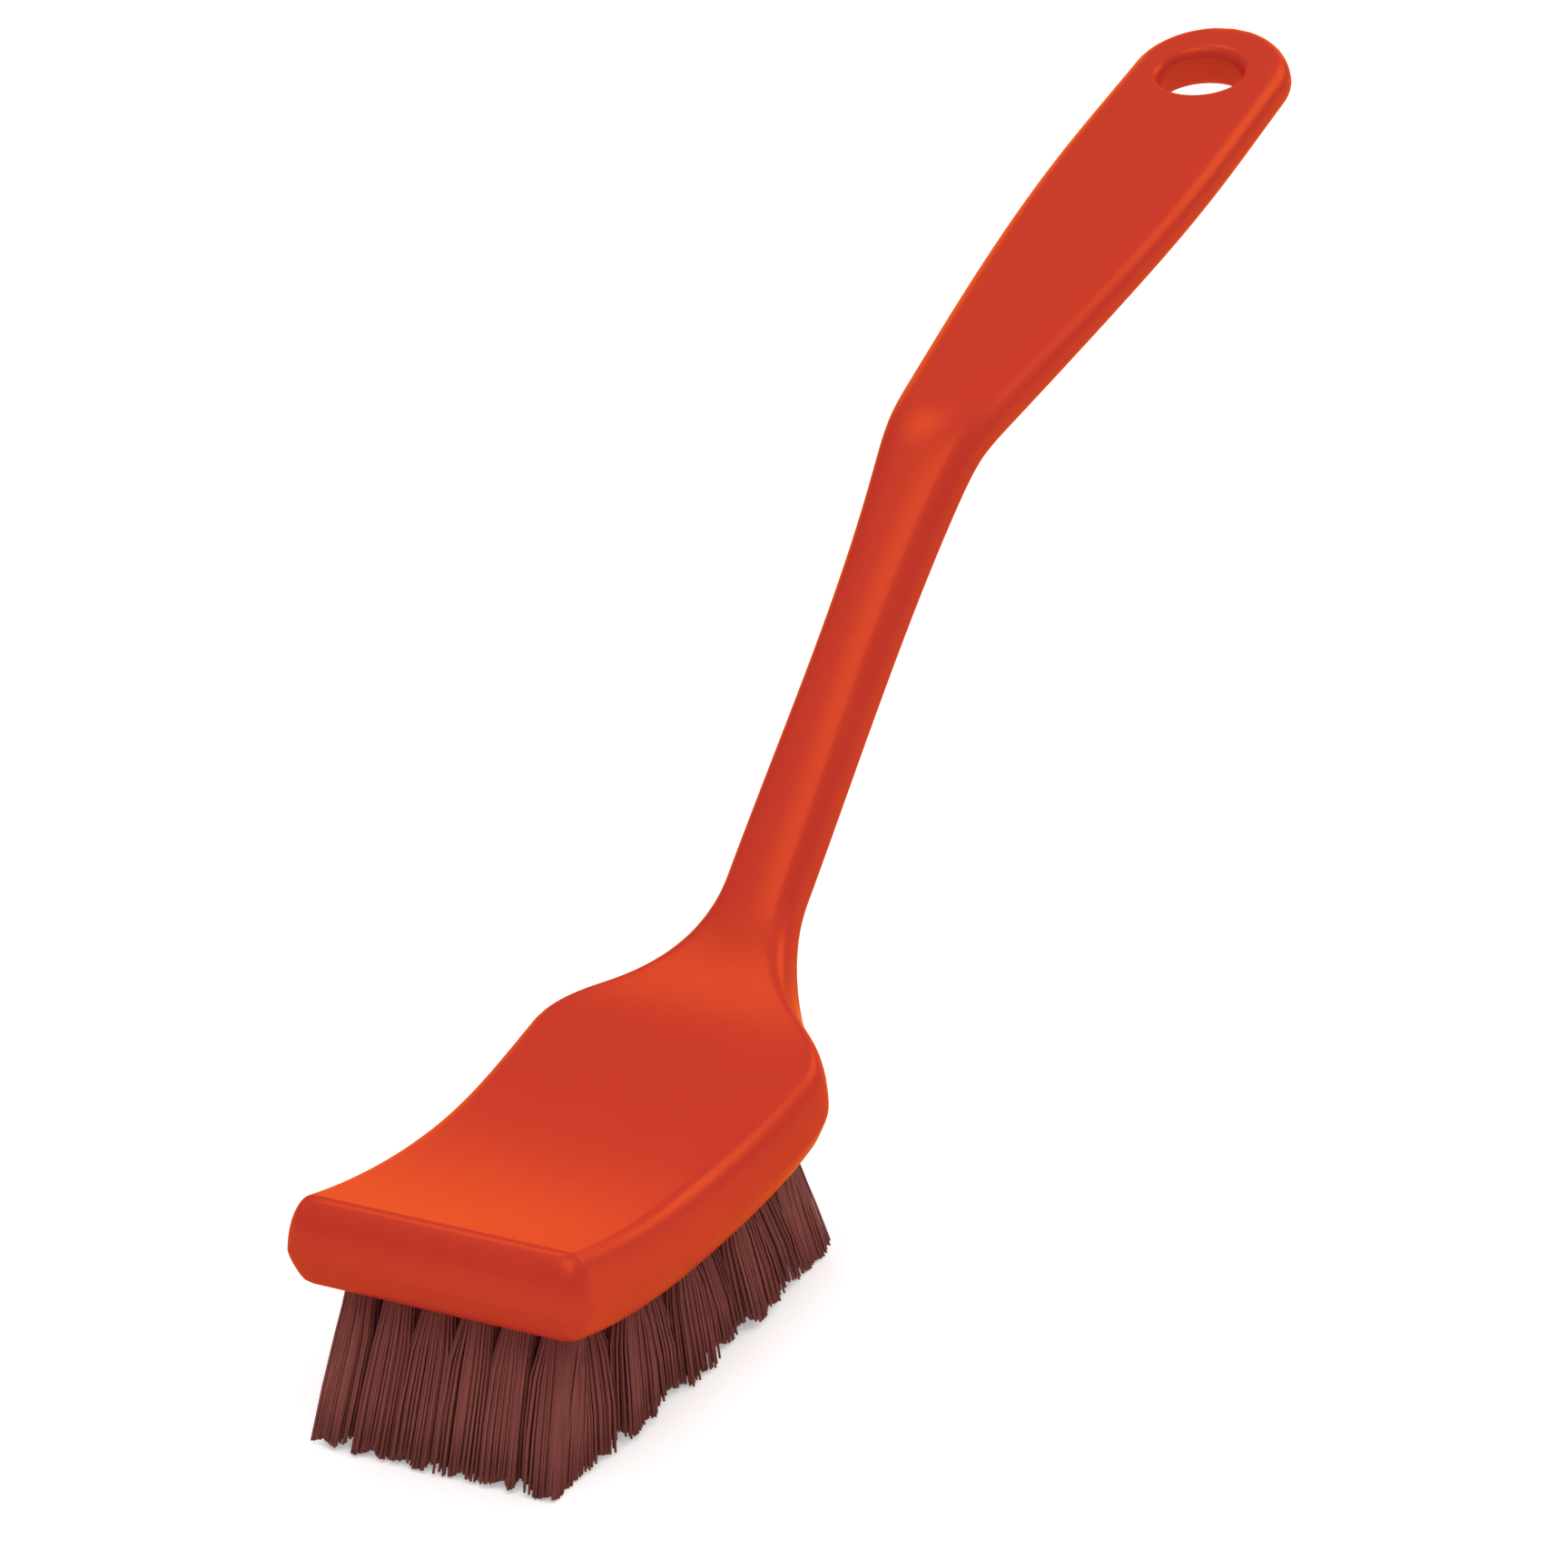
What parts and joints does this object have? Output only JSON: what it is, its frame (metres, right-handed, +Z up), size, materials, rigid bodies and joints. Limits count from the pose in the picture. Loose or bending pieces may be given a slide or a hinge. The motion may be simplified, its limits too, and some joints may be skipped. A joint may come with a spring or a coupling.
{
  "type": "dish brush",
  "caption": "Dish brush with a dished slab head, a bent flat-gripped handle moulded in one with it, fanned tufts of stiff brown bristles and a hanging hole.",
  "frame": {"origin": "on the plane that the bristle ends stand on, below the middle of the brush's length and width", "axes": "+X from the front of the head to the end of the grip, +Y across the brush to its left, +Z up from the bristle ends"},
  "size_m": [0.282, 0.0492, 0.1389],
  "materials": {
    "moulding": "satin orange-red moulded plastic",
    "bristle": "dark reddish brown nylon filament, trimmed level",
    "anchor": "bright flat wire"
  },
  "bodies": {
    "root": {"handle_block": "moulding", "bristles_front": "bristle", "bristles_mid_front": "bristle", "bristles_mid_rear": "bristle", "bristles_rear": "bristle", "anchor_row1_1": "anchor", "anchor_row1_2": "anchor", "anchor_row1_3": "anchor", "anchor_row1_4": "anchor", "anchor_row1_5": "anchor", "anchor_row1_6": "anchor", "anchor_row2_1": "anchor", "anchor_row2_2": "anchor", "anchor_row2_3": "anchor", "anchor_row2_4": "anchor", "anchor_row2_5": "anchor", "anchor_row3_1": "anchor", "anchor_row3_2": "anchor", "anchor_row3_3": "anchor", "anchor_row3_4": "anchor", "anchor_row3_5": "anchor", "anchor_row3_6": "anchor", "anchor_row4_1": "anchor", "anchor_row4_2": "anchor", "anchor_row4_3": "anchor", "anchor_row4_4": "anchor", "anchor_row4_5": "anchor", "anchor_row5_1": "anchor", "anchor_row5_2": "anchor", "anchor_row5_3": "anchor", "anchor_row5_4": "anchor", "anchor_row5_5": "anchor", "anchor_row5_6": "anchor", "anchor_row6_1": "anchor", "anchor_row6_2": "anchor", "anchor_row6_3": "anchor", "anchor_row6_4": "anchor", "anchor_row6_5": "anchor", "anchor_row7_1": "anchor", "anchor_row7_2": "anchor", "anchor_row7_3": "anchor", "anchor_row7_4": "anchor", "anchor_row7_5": "anchor", "anchor_row7_6": "anchor", "anchor_row8_1": "anchor", "anchor_row8_2": "anchor", "anchor_row8_3": "anchor", "anchor_row8_4": "anchor", "anchor_row8_5": "anchor", "anchor_row9_1": "anchor", "anchor_row9_2": "anchor", "anchor_row9_3": "anchor", "anchor_row9_4": "anchor", "anchor_row9_5": "anchor", "anchor_row9_6": "anchor"}
  },
  "joints": []
}
